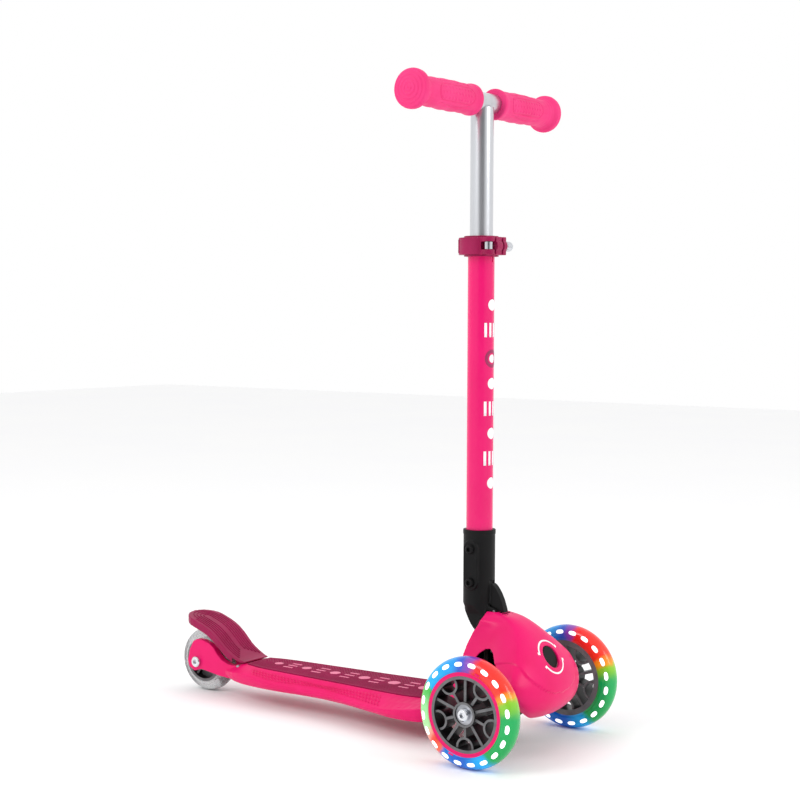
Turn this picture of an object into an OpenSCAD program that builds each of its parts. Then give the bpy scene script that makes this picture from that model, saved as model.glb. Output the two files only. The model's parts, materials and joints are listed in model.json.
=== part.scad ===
// Folding three-wheel kick scooter for a small child, steered by leaning.
// +X is forward, +Y is left and +Z is up. The origin is on the ground, under the middle of the outline.

/* [Wheels] */
// Distance from the front axle to the rear axle
wheelbase = 467; // [455:1:480]
// Diameter of the two front wheels
front_wheel_d = 121; // [119:1:123]
// Diameter of the rear wheel
rear_wheel_d = 80; // [78:1:82]
// Distance between the middles of the two front wheels
front_track = 216; // [212:1:224]
// Width of every wheel
wheel_w = 25; // [24:0.5:26]
// Number of light windows in each front wheel
light_count = 20; // [12:1:24]

/* [Deck] */
// Height of the top of the deck moulding, under the mat
deck_top = 46.4; // [45:0.2:48]
// Thickness of the foot mat
mat_t = 1.6; // [1:0.1:2.4]
// Wall thickness of the deck moulding
deck_wall = 3; // [2.5:0.1:4]

/* [Steering column] */
// Height of the crossbar's middle in the middle height setting
bar_height = 720; // [700:1:740]
// Height change from the middle setting to the highest or the lowest
bar_travel = 50; // [20:1:60]
// How far the column stands behind the front axle
column_back = 58.3; // [56:0.1:60]
// Outside diameter of the painted lower tube
lower_tube_d = 30; // [29:0.5:31]
// Outside diameter of the bare upper tube
upper_tube_d = 26; // [25.5:0.1:26.2]
// Tube wall thickness
tube_wall = 1.5; // [1.2:0.1:1.7]
// Height of the top of the clamp collar
clamp_top = 571; // [540:1:600]
// Height of the clamp collar
clamp_h = 23; // [20:1:26]

/* [Handlebar] */
// Width over the ends of both grips
bar_w = 289; // [280:1:300]
// Diameter of the crossbar
crossbar_d = 22; // [21:0.5:22.5]
// Length of bare crossbar between the grips
bar_gap = 46; // [40:1:52]
// Diameter of the big end flange of a grip
grip_end_d = 43; // [38:0.5:46]

/* [Steering] */
// Slope of the steering pin above the ground, rising towards the front
kingpin_tilt = 40; // [38:1:42]
// Wall thickness of the front cover
cover_wall = 2.6; // [2.2:0.1:3]

/* [Hidden] */
$fn = 64;

// Colours
pink = [0.93, 0.13, 0.47];
raspberry = [0.62, 0.12, 0.33];
black = [0.09, 0.09, 0.10];
dark_grey = [0.28, 0.28, 0.30];
silver = [0.80, 0.81, 0.83];
steel = [0.62, 0.63, 0.65];
white = [0.95, 0.95, 0.96];

// Places that the rest follows from
front_r = front_wheel_d / 2;
rear_r = rear_wheel_d / 2;
front_x = (rear_r + wheelbase + front_r) / 2 - front_r;
rear_x = front_x - wheelbase;
column_x = front_x - column_back;
bar_r = crossbar_d / 2;
lower_r = lower_tube_d / 2;
upper_r = upper_tube_d / 2;
fold_x = front_x - 42;
fold_z = 132;
eps = 0.05;

// Fits
shaft_r = 3.95;
bearing_bore_r = 4;
bearing_r = 11;
bearing_h = 7;
bearing_gap = 7;

// A smooth curve through [position, value] pairs
function place_in(t, pairs, i = 0) =
    (i >= len(pairs) - 2 || t < pairs[i + 1][0]) ? i : place_in(t, pairs, i + 1);
function slope_at(pairs, i) =
    let (a = max(i - 1, 0), b = min(i + 1, len(pairs) - 1))
    (pairs[b][1] - pairs[a][1]) / (pairs[b][0] - pairs[a][0]);
function curve_at(t, pairs) =
    let (i = place_in(t, pairs),
         span = pairs[i + 1][0] - pairs[i][0],
         u = min(max((t - pairs[i][0]) / span, 0), 1),
         p = pairs[i][1], q = pairs[i + 1][1],
         m = slope_at(pairs, i) * span, n = slope_at(pairs, i + 1) * span)
    (2 * u * u * u - 3 * u * u + 1) * p + (u * u * u - 2 * u * u + u) * m
    + (3 * u * u - 2 * u * u * u) * q + (u * u * u - u * u) * n;

// A solid skin through rings of points, all rings with the same number of points. Each ring is a
// folded strip: point i of its first half faces the point i from the end of its second half.
module skin_of_strips(rings) {
    n = len(rings[0]);
    m = len(rings);
    points = [for (ring = rings) each ring];
    sides = [for (k = [0:m - 2], i = [0:n - 1])
             let (j = (i + 1) % n)
             each [[k * n + i, k * n + j, (k + 1) * n + j],
                   [k * n + i, (k + 1) * n + j, (k + 1) * n + i]]];
    first = [for (i = [0:n / 2 - 2]) let (o = n - 1 - i)
             each [[i, o, o - 1], [i, o - 1, i + 1]]];
    base = (m - 1) * n;
    last = [for (i = [0:n / 2 - 2]) let (o = n - 1 - i)
            each [[base + i, base + o - 1, base + o], [base + i, base + i + 1, base + o - 1]]];
    polyhedron(points = points, faces = concat(sides, first, last), convexity = 10);
}

// Cylinder along Y, from y0 to y1
module y_bar(x, z, r, y0, y1) {
    translate([x, y1, z]) rotate([90, 0, 0]) cylinder(r = r, h = y1 - y0);
}

// Plate cut from an outline in the XZ plane, from y0 to y1
module y_plate(outline, y0, y1) {
    translate([0, y1, 0]) rotate([90, 0, 0]) linear_extrude(height = y1 - y0) polygon(outline);
}

module both_sides() {
    children();
    mirror([0, 1, 0]) children();
}

// ---------------------------------------------------------------- wheels

// Local Z is the wheel's axis and points outboard, local X forward
module at_front_wheel(side) {
    mirror([0, side > 0 ? 1 : 0, 0])
        translate([front_x, -front_track / 2, front_r]) rotate([90, 0, 0]) children();
}

module at_rear_wheel() {
    translate([rear_x, 0, rear_r]) rotate([90, 0, 0]) children();
}

half_w = wheel_w / 2;
hub_face = half_w - 0.5;
rim_r = 41.2;
seat_r = 44;
ring_r = 45.4;
ring_floor = 7.8;
groove_in = 53.4;
groove_out = 58.3;
groove_floor = 5;
light_r = 55.85;

// Outline of a wheel's tread, from its inner corner round the crown
function tread(r_out, r_in, crown) =
    [for (a = [-90:15:90]) [r_out - crown * (1 - cos(a)), half_w * sin(a) * (0.86 + 0.14 * cos(a))]];

module front_tyre() {
    inner = [[ring_r + eps, half_w], [ring_r + eps, ring_floor], [seat_r + eps, ring_floor],
             [seat_r + eps, -half_w]];
    difference() {
        rotate_extrude() polygon(concat(inner, tread(front_r, seat_r, 11)));
        translate([0, 0, groove_floor]) difference() {
            cylinder(r = groove_out, h = wheel_w);
            translate([0, 0, -1]) cylinder(r = groove_in, h = wheel_w + 2);
        }
        for (a = [70, 250]) rotate([0, 0, a]) translate([ring_r - 2, -3.3, ring_floor - 0.1])
            cube([5.3, 6.6, wheel_w]);
    }
}

module front_light_ring() {
    lens_h = 2.6;
    translate([0, 0, groove_floor + eps]) difference() {
        cylinder(r = groove_out - eps, h = 1.4);
        translate([0, 0, -1]) cylinder(r = groove_in + eps, h = 4);
    }
    for (i = [0:light_count - 1]) rotate([0, 0, (i + 0.5) * 360 / light_count])
        translate([0, 0, groove_floor + 1]) {
            for (s = [-1, 1]) rotate([0, 0, s * 3]) translate([light_r, 0, 0])
                cylinder(r = 1.9, h = lens_h, $fn = 24);
            translate([light_r - 1.9, -3, 0]) cube([3.7, 6, lens_h]);
        }
}

module front_trim_ring() {
    difference() {
        union() {
            cylinder(r = ring_r, h = 4.2);
            for (a = [70, 250]) rotate([0, 0, a]) translate([ring_r - 2, -3, 0]) cube([4.8, 6, 4.2]);
        }
        translate([0, 0, -1]) cylinder(r = rim_r + eps, h = 7);
    }
}

module front_hub() {
    rib_h = 2 * hub_face - 5;
    pocket_r = 11;
    difference() {
        union() {
            difference() {
                union() {
                    translate([0, 0, -hub_face]) cylinder(r = rim_r, h = 2 * hub_face);
                    translate([0, 0, -hub_face]) cylinder(r = seat_r, h = hub_face + ring_floor - eps);
                }
                translate([0, 0, -wheel_w]) cylinder(r = rim_r - 3.4, h = 2 * wheel_w);
            }
            translate([0, 0, -hub_face]) cylinder(r = 13.6, h = 2 * hub_face);
            for (i = [0:4]) rotate([0, 0, 90 + i * 72])
                translate([12, -1.6, -rib_h / 2]) cube([rim_r - 14, 3.2, rib_h]);
            for (i = [0:4]) rotate([0, 0, 54 + i * 72]) {
                translate([12, -1.5, -rib_h / 2]) cube([13, 3, rib_h]);
                intersection() {
                    translate([35.5, 0, -rib_h / 2]) difference() {
                        cylinder(r = pocket_r, h = rib_h);
                        translate([0, 0, -1]) cylinder(r = pocket_r - 2.6, h = rib_h + 2);
                    }
                    translate([0, 0, -wheel_w]) cylinder(r = rim_r - 2, h = 2 * wheel_w);
                }
            }
        }
        bearing_seats();
    }
}

// Two bearing seats with a shoulder between them
module bearing_seats() {
    translate([0, 0, -wheel_w]) cylinder(r = 8.2, h = 2 * wheel_w);
    for (s = [0, 1]) mirror([0, 0, s]) translate([0, 0, bearing_gap / 2])
        cylinder(r = bearing_r + 0.02, h = wheel_w);
}

module bearing() {
    difference() {
        cylinder(r = bearing_r, h = bearing_h);
        translate([0, 0, -1]) cylinder(r = bearing_bore_r, h = bearing_h + 2);
        for (z = [-1, bearing_h - 0.5]) translate([0, 0, z]) difference() {
            cylinder(r = 9.2, h = 1.5);
            translate([0, 0, -1]) cylinder(r = 6.1, h = 4);
        }
    }
}

module bearing_pair() {
    for (s = [0, 1]) mirror([0, 0, s]) translate([0, 0, bearing_gap / 2 + eps]) bearing();
}

module bearing_spacer() {
    difference() {
        translate([0, 0, -bearing_gap / 2]) cylinder(r = 6, h = bearing_gap);
        translate([0, 0, -bearing_gap]) cylinder(r = bearing_bore_r + 0.05, h = 3 * bearing_gap);
    }
}

module socket_head(r, h) {
    difference() {
        union() {
            cylinder(r = r, h = h - 1);
            translate([0, 0, h - 1]) cylinder(r1 = r, r2 = r - 1, h = 1);
        }
        translate([0, 0, h - 2.4]) cylinder(r = r * 0.52, h = 4, $fn = 6);
    }
}

head_under = bearing_gap / 2 + bearing_h + 0.35;
arm_end = half_w + 0.4;
module front_axle_bolts() {
    for (side = [-1, 1]) at_front_wheel(side) {
        translate([0, 0, -42]) cylinder(r = shaft_r, h = 42 + head_under);
        translate([0, 0, head_under]) socket_head(6.6, 4.6);
    }
}

rear_seat_r = 27.5;
module rear_tyre() {
    inner = [[rear_seat_r + eps, half_w], [rear_seat_r + eps, -half_w]];
    rotate_extrude() polygon(concat(inner, tread(rear_r, rear_seat_r, 10)));
}

module rear_hub() {
    difference() {
        union() {
            difference() {
                translate([0, 0, -hub_face]) cylinder(r = rear_seat_r, h = 2 * hub_face);
                translate([0, 0, -wheel_w]) cylinder(r = rear_seat_r - 3.4, h = 2 * wheel_w);
            }
            translate([0, 0, -hub_face]) cylinder(r = 13.6, h = 2 * hub_face);
            translate([0, 0, -2]) cylinder(r = rear_seat_r - 1, h = 4);
            for (i = [0:4]) rotate([0, 0, 90 + i * 72])
                translate([12, -1.5, -8]) cube([rear_seat_r - 14, 3, 16]);
        }
        bearing_seats();
    }
}

// ---------------------------------------------------------------- deck

// Along the deck, measured back from the front axle (negative x)
deck_half_w = [[-418, 26], [-400, 34], [-370, 40], [-330, 43.5], [-290, 42.5], [-250, 43],
               [-210, 49], [-170, 58], [-135, 65], [-105, 63], [-84, 53], [-66, 46], [-58, 45]];
mat_half_w = [[-418, 16], [-386, 22], [-360, 28], [-300, 32], [-220, 36.5], [-150, 41],
              [-120, 39], [-103, 33], [-84, 28], [-58, 26]];
deck_crown = [[-418, 41], [-405, 43.5], [-396, 45.4], [-390, deck_top], [-101, deck_top],
              [-91, 43.4], [-84, 42.7], [-58, 42.7]];
deck_wing = [[-418, 35], [-390, 37.2], [-370, 37.6], [-331, 33.8], [-270, 33.2], [-206, 32.2],
             [-156, 32.4], [-120, 36.4], [-104, 39], [-84, 40], [-58, 40]];
deck_edge = [[-418, 26], [-390, 24], [-340, 24], [-250, 24.5], [-100, 24], [-58, 26]];

// One slice through the deck moulding: over the top, then back underneath
function deck_slice(x) =
    let (w = curve_at(x, deck_half_w), m = min(curve_at(x, mat_half_w), w - 8),
         top = min(curve_at(x, deck_crown), deck_top), low = curve_at(x, deck_edge),
         wing = curve_at(x, deck_wing),
         bead = wing - 1.6,
         outer = [[0, top], [m, top], [m + 1.2, top - 0.5], [(m + w) / 2, (top + wing) / 2 + 0.4],
                  [w - 1.4, wing + 0.7], [w, wing - 0.4], [w - 0.9, bead], [w - 0.3, bead - 1.2],
                  [w - 1.2, (bead + low) / 2], [w - 3.4, low + 1.4], [w - 4.6, low]],
         side = w - 4.4 - deck_wall, gap = side - m, dip = wing - 1.8, rise = top - deck_wall - dip,
         inner = [[w - 4.6 - deck_wall, low], [w - 3.8 - deck_wall, low + (wing - low) * 0.35],
                  [w - 3.4 - deck_wall, low + (wing - low) * 0.55], [side, dip],
                  [m + gap * 0.85, dip + rise * 0.15], [m + gap * 0.6, dip + rise * 0.4],
                  [m + gap * 0.3, dip + rise * 0.7], [m, top - deck_wall - 0.1],
                  [m - 1, top - deck_wall], [m - 2, top - deck_wall], [0, top - deck_wall]])
    [for (p = concat([for (i = [len(outer) - 1:-1:1]) [-outer[i][0], outer[i][1]]], outer, inner,
                     [for (i = [len(inner) - 2:-1:0]) [-inner[i][0], inner[i][1]]])) [x, p[0], p[1]]];

// Side plates that carry the rear axle, as an outline in the XZ plane
fork_outline = [[-378, 28], [-396, 25.5], [-414, 25.2], [-432, 26.5], [-450, 29.5], [-461, 31],
                [-472, 27.5], [-481, 32], [-483.5, 40], [-480, 55], [-474, 65.5], [-467, 69],
                [-458, 68.6], [-447, 65.5], [-439, 60], [-433, 52.5], [-426, 46.8], [-415, 43],
                [-404, 42.6], [-378, 43.5]];
brake_x = -399;
brake_z = 41.5;

module deck_shell() {
    color(pink) translate([front_x, 0, 0]) difference() {
        union() {
            skin_of_strips([for (x = [-418:9:-58]) deck_slice(x)]);
            deck_ribs();
            both_sides() y_plate(fork_outline, 14, 24.3);
        }
        // Room for the rear wheel and the brake's hinge
        translate([-500, -15, 0]) cube([109, 30, 90]);
        y_bar(-wheelbase, rear_r, 4.02, -40, 40);
        y_bar(brake_x, brake_z, 2.55, -25, 25);
        for (p = screw_places) translate([p[0], p[1], 38]) cylinder(r = 2.05, h = 4);
    }
}

screw_places = [[-90, -10], [-90, 10], [-70, -10], [-70, 10]];

module deck_ribs() {
    rib = 2.2;
    for (y = [-24, 0, 24]) translate([-386, y - rib / 2, 28]) cube([286, rib, 16]);
    for (x = [-386:43:-100]) {
        w = curve_at(x, deck_half_w) - 5.6;
        translate([x, -w, 30]) cube([rib, 2 * w, 8.9]);
        translate([x, -23.5, 30]) cube([rib, 47, 14.1]);
    }
}

module deck_mat() {
    edge = [for (x = [-385:7:-112]) [x, curve_at(x, mat_half_w) - 0.6]];
    nose = [for (a = [72:-12:0]) [-112 + 20 * cos(a), curve_at(-112, mat_half_w) * sin(a)]];
    side = concat(edge, nose);
    other = [for (i = [len(side) - 1:-1:0]) [side[i][0], -side[i][1]]];
    color(raspberry) translate([front_x, 0, deck_top + 0.02])
        linear_extrude(height = mat_t) polygon(concat(side, other));
}

module deck_screws() {
    color(steel) for (p = screw_places) translate([front_x + p[0], p[1], 0]) {
        translate([0, 0, 25.8]) cylinder(r = 2, h = 15.8);
        translate([0, 0, 23.6]) cylinder(r = 3.6, h = 2.3);
    }
}

module rear_axle() {
    color(silver) translate([rear_x, 0, rear_r]) rotate([90, 0, 0]) {
        translate([0, 0, -28]) cylinder(r = shaft_r, h = 53);
        translate([0, 0, 24.4]) socket_head(6.6, 4.4);
        translate([0, 0, -30.5]) difference() {
            cylinder(r = 6.8, h = 6, $fn = 6);
            translate([0, 0, -1]) cylinder(r = shaft_r, h = 8);
        }
    }
}

module rear_washers() {
    color(steel) translate([rear_x, 0, rear_r]) rotate([90, 0, 0]) for (s = [0, 1]) mirror([0, 0, s])
        translate([0, 0, head_under]) difference() {
            cylinder(r = 6, h = 15 - head_under - eps);
            translate([0, 0, -1]) cylinder(r = 4.02, h = 8);
        }
}

// ---------------------------------------------------------------- brake

fender_top = [[-387, 48.6], [-394, 50], [-403, 53.6], [-417, 61.5], [-428, 71], [-437, 78.6],
              [-447, 85], [-460, 90.4], [-474, 95], [-493, 99.6]];
fender_t = 3.6;
fender_half_w = 28;

function fender_line(drop) = [for (x = [-493:4:-389]) [x, curve_at(-x, [for (p = fender_top)
                              [-p[0], p[1]]]) - drop]];

module fender_plan() {
    tail = [for (a = [0:15:180]) [-470 - 23 * sin(a), 27.6 * cos(a)]];
    polygon(concat([[-387, 22], [-400, 24.5], [-430, 27.6]], tail,
                   [[-430, -27.6], [-400, -24.5], [-387, -22]]));
}

module brake_fender() {
    top = fender_line(0);
    color(raspberry) translate([front_x, 0, 0]) difference() {
        union() {
            intersection() {
                y_plate(concat(top, [for (i = [len(top) - 1:-1:0]) top[i] - [0, 9.5]]), -30, 30);
                difference() {
                    linear_extrude(height = 120) fender_plan();
                    // The plate is thin inside its turned-down rim
                    intersection() {
                        y_plate(concat(fender_line(fender_t), [[-389, 20], [-493, 20]]), -25, 25);
                        linear_extrude(height = 120) intersection() {
                            translate([3, 0]) fender_plan();
                            translate([-490, -25]) square([102, 50]);
                        }
                    }
                }
            }
            y_bar(brake_x, brake_z, 5, -14.4, 14.4);
            y_plate([[-402, 42], [-396, 42], [-391, 48.5], [-404, 51]], -14.4, 14.4);
        }
        y_bar(brake_x, brake_z, 2.56, -40, 40);
        // Clear of the tyre
        y_bar(-wheelbase, rear_r, rear_r + 5, -13, 13);
        // Clear of the deck's rear edge
        both_sides() y_plate([[-440, 30], [-440, 44], [-418, 44], [-405, 44.5], [-396, 46], [-390, 47.3],
                              [-380, 47.3], [-380, 30]], 14.6, 40);
        y_plate([[-392, 30], [-392, 47.1], [-380, 47.1], [-380, 30]], -40, 40);
        // Room for the return spring
        y_bar(brake_x, brake_z, 7, -5, 5);
    }
}

module brake_pin() {
    color(steel) translate([front_x, 0, 0]) y_bar(brake_x, brake_z, 2.5, -24.4, 24.4);
}

module brake_spring() {
    color(steel) translate([front_x, 0, 0]) for (i = [-2:2]) translate([brake_x, 1.8 * i, brake_z])
        rotate([90, 0, 0]) rotate_extrude() translate([3.6, 0]) circle(r = 0.7, $fn = 16);
}

// ---------------------------------------------------------------- front frame and cover

tilt_dir = [cos(kingpin_tilt), 0, sin(kingpin_tilt)];
// A point along the steering pin and above it, in the XZ plane
function tilted(s, n) = [s * cos(kingpin_tilt) - n * sin(kingpin_tilt),
                         front_r + s * sin(kingpin_tilt) + n * cos(kingpin_tilt)];

// Local Z runs along the steering pin, rising to the front
module at_kingpin() {
    translate([front_x, 0, front_r]) rotate([0, 90 - kingpin_tilt, 0]) children();
}

ear_in = 22.8;
ear_out = 30.8;
frame_half_w = 18.4;
tongue_half_w = 12;
fork_gap = 12.6;
knuckle_r = 9.6;
knuckle_half_w = 17.2;
tongue_sweep_r = 28.6;
tongue_outline = [[-70.5, 152], [-69.2, 147.5], [-67.3, 143.2], [-65, 138.8], [-62.5, 134.6], [-59.2, 130.2],
                  [-55.4, 126.3], [-50, 121.6], [-44, 118.6], [-38, 118.9], [-32.5, 122], [-29, 127],
                  [-28.4, 133], [-30.5, 139], [-36, 143.5], [-41, 147.5], [-42, 152]];

frame_outline = concat(
    [[-95, 26], [-30, 26]],
    [tilted(-ear_out, -15), tilted(-ear_in, -15), tilted(-ear_in, 15), tilted(-24, 20)],
    [tilted(ear_in, 20), tilted(ear_in, -15), tilted(ear_out, -15), tilted(ear_out, 28)],
    [[-12, 111], [-27, 120], [-33.5, 131], [-50.5, 131], [-50.3, 127.5], [-45.9, 121.2], [-51.5, 104],
     [-55, 95], [-57, 50], [-57, 39.4], [-95, 39.4]]);

module front_frame() {
    color(black) difference() {
        union() {
            translate([front_x, 0, 0]) y_plate(frame_outline, -frame_half_w, frame_half_w);
            y_bar(fold_x, fold_z, knuckle_r, -knuckle_half_w, knuckle_half_w);
            at_kingpin() for (z = [-ear_out, ear_in]) translate([0, 0, z])
                cylinder(r = 15, h = ear_out - ear_in);
        }
        // Fork for the hinge tongue
        y_bar(fold_x, fold_z, tongue_sweep_r, -fork_gap, fork_gap);
        y_bar(fold_x, fold_z, 4.02, -30, 30);
        at_kingpin() translate([0, 0, -60]) cylinder(r = 5.05, h = 120);
        // Room for the nut under the steering pin
        at_kingpin() translate([0, 0, -ear_out - 40]) cylinder(r = 10.5, h = 40);
        // Lightening pockets on both sides
        both_sides() translate([front_x, 0, 0]) {
            y_plate([[-49, 52], [-40, 66], [-40, 112], [-49, 112]], 4, 30);
            y_plate([[-34, 76], [-34, 112], [-28, 112], [-8, 102], [-6, 100]], 4, 30);
        }
        for (p = screw_places) translate([front_x + p[0], p[1], 20]) cylinder(r = 2.05, h = 25);
    }
}

module kingpin() {
    color(steel) at_kingpin() {
        translate([0, 0, -38]) cylinder(r = 5, h = 38 + ear_out + 0.1);
        translate([0, 0, ear_out + 0.1]) socket_head(8, 5);
        translate([0, 0, -ear_out - 7]) difference() {
            cylinder(r = 8.6, h = 6.9, $fn = 6);
            translate([0, 0, -1]) cylinder(r = 5, h = 9);
        }
    }
}

module steering_rubbers() {
    color(dark_grey) at_kingpin() for (s = [0, 1]) mirror([0, 0, s]) translate([0, 0, 18.2])
        difference() {
            cylinder(r = 13, h = ear_in - 18.4);
            translate([0, 0, -1]) cylinder(r = 5.1, h = 9);
        }
}

module fold_pin() {
    color(steel) y_bar(fold_x, fold_z, 4, -knuckle_half_w, knuckle_half_w);
}

// The front cover by height: front line, half width, rear end of each side and its half width
cover_low = 43;
cover_high = 150;
cover_front = [[43, 36], [47, 41.5], [55, 48.5], [65, 51], [80, 48.6], [95, 42.4], [107.6, 35], [118, 27.4],
               [128, 18.2], [136, 9.5], [142, 0.5], [147, -11], [150, -25]];
cover_half_w = [[43, 34], [47, 40], [54, 50], [62, 59], [72, 67], [83, 70], [92, 66], [101, 57.5],
                [110, 47], [120, 36], [128, 28], [135, 21.5], [142, 16.5], [147, 13.6], [150, 11.6]];
cover_back = [[43, -88], [50, -82], [58, -73], [70, -66.5], [90, -61.5], [106, -58], [114, -56.5],
              [123, -53.5], [128.5, -51], [134, -46.5], [141, -42.5], [150, -39.6]];
cover_back_w = [[43, 45], [50, 44.5], [70, 41], [90, 36], [106, 31], [114, 27.5], [123, 24], [134, 21.8],
                [141, 21.2], [144, 18], [150, 12]];
arch_outline = [[-46, 30], [-45.5, 84], [-42, 98], [-36, 107], [-28, 112.5], [-21, 114], [-13, 110.5],
                [-4, 102], [8, 90], [19, 72], [27, 54], [31, 30]];

function cover_side(z, t) =
    let (x0 = curve_at(z, cover_front) - 0.0022 * pow(curve_at(z, cover_half_w), 2) - 13,
         ease = t * t * (3 - 2 * t))
    [x0 + (curve_at(z, cover_back) - x0) * t,
     curve_at(z, cover_half_w) + (curve_at(z, cover_back_w) - curve_at(z, cover_half_w)) * ease];
function cover_face(z, a) =
    let (y = curve_at(z, cover_half_w) * pow(sin(a), 0.62))
    [curve_at(z, cover_front) - 0.0022 * y * y - 13 * (1 - pow(cos(a), 0.62)), y];
function cover_half(z) = concat([for (i = [0:7]) cover_face(z, i * 90 / 8)],
                                [for (i = [0:7]) cover_side(z, i / 7)]);
function unit(v) = v / norm(v);
function outward(path, i) =
    let (a = path[max(i - 1, 0)], b = path[min(i + 1, len(path) - 1)], d = unit(b - a))
    [d[1], -d[0]];
function cover_path(z) =
    let (half = cover_half(z))
    concat([for (i = [len(half) - 1:-1:1]) [half[i][0], -half[i][1]]], half);
function cover_ring(z) =
    let (path = cover_path(z), wall = cover_wall,
         inside = [for (i = [len(path) - 1:-1:0]) path[i] - wall * outward(path, i)])
    [for (p = concat(path, inside)) [p[0], p[1], z]];

button_x = 35;
button_z = 106;
button_tilt = 27;
module at_button() {
    translate([front_x + button_x, 0, button_z]) rotate([0, 90 - button_tilt, 0]) children();
}

module front_cover() {
    levels = [for (i = [30:-1:0]) cover_low + (cover_high - cover_low) * i / 30];
    color(pink) difference() {
        translate([front_x, 0, 0]) skin_of_strips([for (z = levels) cover_ring(z)]);
        translate([front_x, 0, 0]) both_sides() y_plate(arch_outline, 19, 90);
        // Room for the elbow as it folds back, for the hinge knuckles and for the release lever
        translate([front_x - 140, -18.8, 47]) cube([100.6, 37.6, 120]);
        y_bar(fold_x, fold_z, knuckle_r + 0.4, -knuckle_half_w - 0.4, knuckle_half_w + 0.4);
        y_bar(fold_x, fold_z, 15.4, -tongue_half_w - 0.6, tongue_half_w + 0.6);
        translate([front_x - 60, -8.9, 136]) cube([44, 17.8, 30]);
        translate([front_x - 60, -13.4, 138]) cube([27, 26.8, 30]);
        at_button() translate([0, 0, -30]) cylinder(r = 13.3, h = 60);
    }
}

module lock_button() {
    color(black) at_button() difference() {
        union() {
            translate([0, 0, -9]) cylinder(r = 13, h = 8.6);
            translate([0, 0, -0.4]) cylinder(r1 = 13, r2 = 11.6, h = 1);
        }
        translate([0, 0, -10]) cylinder(r = 10.6, h = 7.6);
    }
}

module lock_plunger() {
    color(dark_grey) at_button() {
        translate([0, 0, -19]) cylinder(r = 3.5, h = 16.5);
        translate([0, 0, -4.4]) cylinder(r = 8, h = 2);
    }
}

module lock_spring() {
    color(steel) at_button() for (i = [0:6]) translate([0, 0, -22.6 + i * 2.2])
        rotate_extrude() translate([5.2, 0]) circle(r = 0.7, $fn = 16);
}

// ---------------------------------------------------------------- carriage

module carriage() {
    reach = front_track / 2 - arm_end;
    color(black) difference() {
        union() {
            at_kingpin() translate([0, 0, -18]) cylinder(r = 14, h = 36);
            for (side = [-1, 1]) mirror([0, side > 0 ? 1 : 0, 0]) {
                hull() {
                    translate([front_x, -8, front_r]) sphere(r = 12.5, $fn = 32);
                    y_bar(front_x - 1, front_r, 10.5, -62, -60);
                }
                y_bar(front_x, front_r, 9.4, -reach, -60);
                y_bar(front_x, front_r, 6.4, -reach - 1.3, -60);
            }
        }
        at_kingpin() translate([0, 0, -60]) cylinder(r = 7.05, h = 120);
        for (side = [-1, 1]) at_front_wheel(side) translate([0, 0, -42.2])
            cylinder(r = shaft_r + 0.02, h = 60);
    }
}

module kingpin_bushes() {
    color(white) at_kingpin() for (s = [0, 1]) mirror([0, 0, s]) difference() {
        translate([0, 0, 6]) cylinder(r = 7, h = 12);
        cylinder(r = 5.06, h = 30);
    }
}

// ---------------------------------------------------------------- steering column

elbow_top = 241;
tube_foot = 168;
bolt_heights = [219.6, 181.9];

lug_outline = [[-46, 143.5], [-36, 145.4], [-31.4, 146.8], [-29.8, 149], [-30, 151.6], [-32.4, 153.4],
               [-46, 157]];

module elbow() {
    color(black) difference() {
        union() {
            translate([column_x, 0, 158]) cylinder(r = 18, h = elbow_top - 158);
            translate([column_x, 0, elbow_top - 5]) cylinder(r = 18.5, h = 5);
            hull() {
                translate([column_x, 0, 157]) cylinder(r = 18, h = 2);
                translate([front_x, 0, 0]) y_plate([[-68, 149], [-66, 143.6], [-43, 143.6], [-42.6, 149]],
                                                   0.7 - tongue_half_w, tongue_half_w - 0.7);
            }
            translate([front_x, 0, 0]) y_plate(tongue_outline, -tongue_half_w, tongue_half_w);
            // Lugs for the release lever's pin
            translate([front_x, 0, 0]) both_sides() y_plate(lug_outline, 5, 8.2);
            // Raised pad under the bolt heads
            hull() for (z = [183, 220]) y_bar(column_x, z, 9.5, -19.2, -10);
        }
        // Clear of the hinge knuckles on the front frame
        both_sides() y_bar(fold_x, fold_z, knuckle_r + 0.5, tongue_half_w, 30);
        both_sides() y_plate([[fold_x, fold_z], [fold_x - 30, fold_z + 10], [fold_x - 30, 110],
                              [fold_x + 40, 110], [fold_x + 40, 140]], tongue_half_w, 30);
        y_bar(fold_x, fold_z, 4.05, -40, 40);
        y_bar(release_x, release_z, 1.52, -40, 40);
        translate([column_x, 0, tube_foot]) cylinder(r = lower_r + 0.03, h = 200);
        for (z = bolt_heights) y_bar(column_x, z, 3.05, -40, 40);
        // Slot for the release lever
        translate([front_x - 42.6, -5, 141]) cube([30, 10, 43]);
        translate([front_x - 52, -5, 141]) cube([30, 10, 14]);
    }
}

module lower_tube() {
    color(pink) difference() {
        translate([column_x, 0, tube_foot + 0.2]) cylinder(r = lower_r, h = clamp_top - tube_foot - 2);
        translate([column_x, 0, 0]) cylinder(r = lower_r - tube_wall, h = 700);
        for (z = bolt_heights) y_bar(column_x, z, 3.04, -40, 40);
        translate([column_x + 5, -1.2, clamp_top - clamp_h - 6]) cube([20, 2.4, 60]);
    }
}

module elbow_bolts() {
    color(black) for (z = bolt_heights) {
        y_bar(column_x, z, 3, -19.2, 19.5);
        translate([column_x, -19.25, z]) rotate([90, 0, 0]) socket_head(5.2, 3.2);
    }
}

module elbow_nuts() {
    color(steel) for (z = bolt_heights) difference() {
        translate([column_x, 22.6, z]) rotate([90, 0, 0]) cylinder(r = 5.4, h = 4.4, $fn = 6);
        y_bar(column_x, z, 3.02, 10, 30);
    }
}

clamp_low = clamp_top - clamp_h;
clamp_mid = clamp_top - clamp_h / 2;
clamp_r = 19.4;
bolt_ahead = 22.5;
lever_y = -20.5;

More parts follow.
